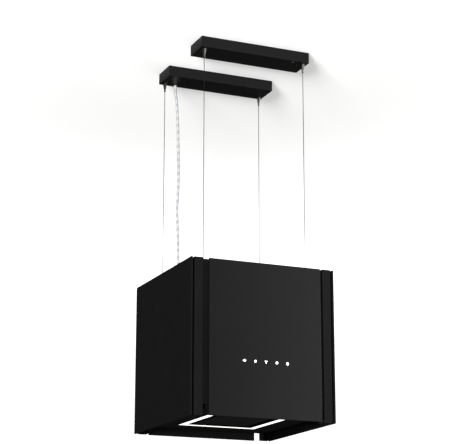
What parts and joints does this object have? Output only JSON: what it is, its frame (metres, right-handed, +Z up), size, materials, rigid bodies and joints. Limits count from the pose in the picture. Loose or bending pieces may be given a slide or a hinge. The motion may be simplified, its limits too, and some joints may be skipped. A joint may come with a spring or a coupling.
{
  "type": "island range hood",
  "caption": "Cube-shaped black island range hood hung on steel wires from two ceiling canopies, with glass front and rear, touch icons, a square light ring and a hinged suction panel.",
  "frame": {"origin": "on the ceiling plane, midway between the four ceiling screws", "axes": "+Z up into the ceiling, the glass with the touch icons faces -Y, +X to its right"},
  "size_m": [0.35, 0.3702, 0.888],
  "materials": {
    "black_paint": "satin black powder coat",
    "canopy_paint": "satin black powder coat",
    "black_glass": "black back-painted toughened glass",
    "dark_sheet": "matt black painted sheet",
    "galvanised": "galvanised sheet",
    "nickel": "satin nickel plate",
    "wire_steel": "stranded steel wire",
    "lead_jacket": "translucent grey jacket",
    "black_plastic": "moulded black",
    "white_plastic": "moulded white",
    "light_diffuser": "lit opal acrylic",
    "icon_print": "lit white print",
    "aluminium": "pressed aluminium",
    "carbon": "black moulding with carbon",
    "circuit_board": "green solder mask",
    "copper_winding": "enamelled winding",
    "rubber": "moulded rubber"
  },
  "bodies": {
    "ceiling": {"canopy_front": "canopy_paint", "canopy_rear": "canopy_paint", "ceiling_brackets": "galvanised", "canopy_screws": "canopy_paint", "gripper_bodies": "nickel", "gripper_nuts": "nickel", "release_springs": "wire_steel", "terminal_block": "white_plastic", "canopy_gland": "rubber", "power_cord": "lead_jacket", "wire_front_left": "wire_steel", "wire_front_right": "wire_steel", "wire_rear_left": "wire_steel", "wire_rear_right": "wire_steel"},
    "hood": {"side_panel_left": "black_paint", "side_panel_right": "black_paint", "corner_posts": "black_paint", "front_glass": "black_glass", "rear_glass": "black_glass", "glass_standoffs": "galvanised", "touch_icons": "icon_print", "touch_housing": "black_plastic", "touch_board": "circuit_board", "casing_front": "dark_sheet", "casing_rear": "dark_sheet", "casing_sides": "dark_sheet", "top_cover": "black_paint", "outlet_grille": "black_paint", "lift_bars": "galvanised", "wire_anchors": "nickel", "hood_gland": "rubber", "bottom_plate": "dark_sheet", "light_tray": "dark_sheet", "light_strips": "white_plastic", "light_diffuser": "light_diffuser", "filter_housing": "black_plastic", "grease_filter_rim": "aluminium", "grease_filter_mesh": "aluminium", "hinge_brackets": "galvanised", "catch_magnets": "galvanised", "blower_housing_left": "black_plastic", "blower_housing_right": "black_plastic", "motor_can": "galvanised", "motor_stator": "copper_winding", "motor_bearings": "nickel", "motor_spider": "black_plastic", "blower_brackets": "galvanised", "power_box": "white_plastic", "light_driver": "white_plastic", "inner_leads": "black_plastic"},
    "suction_panel": {"suction_panel": "black_paint"},
    "filter_latch": {"filter_latch": "black_plastic"},
    "impeller": {"impeller": "black_plastic", "motor_rotor": "galvanised"},
    "carbon_left": {"carbon_filter_left": "carbon"},
    "carbon_right": {"carbon_filter_right": "carbon"},
    "release_front_left": {"plunger_front_left": "nickel"},
    "release_front_right": {"plunger_front_right": "nickel"},
    "release_rear_left": {"plunger_rear_left": "nickel"},
    "release_rear_right": {"plunger_rear_right": "nickel"}
  },
  "joints": [
    {"name": "height_adjust", "type": "slide", "parent": "ceiling", "child": "hood", "axis": [0, 0, 1], "range_m": [0, 0.3], "deforming": ["wire_front_left", "wire_front_right", "wire_rear_left", "wire_rear_right", "power_cord"]},
    {"name": "release_front_left", "type": "slide", "parent": "ceiling", "child": "release_front_left", "axis": [0, 0, 1], "range_m": [0, 0.002], "stiffness_N_per_m": 400, "springref_m": -0.003, "deforming": ["release_springs"]},
    {"name": "release_front_right", "type": "slide", "parent": "ceiling", "child": "release_front_right", "axis": [0, 0, 1], "range_m": [0, 0.002], "stiffness_N_per_m": 400, "springref_m": -0.003, "deforming": ["release_springs"]},
    {"name": "release_rear_left", "type": "slide", "parent": "ceiling", "child": "release_rear_left", "axis": [0, 0, 1], "range_m": [0, 0.002], "stiffness_N_per_m": 400, "springref_m": -0.003, "deforming": ["release_springs"]},
    {"name": "release_rear_right", "type": "slide", "parent": "ceiling", "child": "release_rear_right", "axis": [0, 0, 1], "range_m": [0, 0.002], "stiffness_N_per_m": 400, "springref_m": -0.003, "deforming": ["release_springs"]},
    {"name": "panel_hinge", "type": "hinge", "parent": "hood", "child": "suction_panel", "pos_m": [0, 0.07, -0.866], "axis": [1, 0, 0], "range_deg": [0, 90]},
    {"name": "filter_latch", "type": "slide", "parent": "hood", "child": "filter_latch", "axis": [0, 1, 0], "range_m": [0, 0.005], "stiffness_N_per_m": 300, "springref_m": -0.003},
    {"name": "impeller_spin", "type": "hinge", "parent": "hood", "child": "impeller", "pos_m": [0, -0.025, -0.683], "axis": [1, 0, 0], "continuous": true},
    {"name": "carbon_left_twist", "type": "hinge", "parent": "hood", "child": "carbon_left", "pos_m": [-0.06, -0.025, -0.683], "axis": [-1, 0, 0], "range_deg": [0, 30]},
    {"name": "carbon_right_twist", "type": "hinge", "parent": "hood", "child": "carbon_right", "pos_m": [0.06, -0.025, -0.683], "axis": [1, 0, 0], "range_deg": [0, 30]}
  ]
}
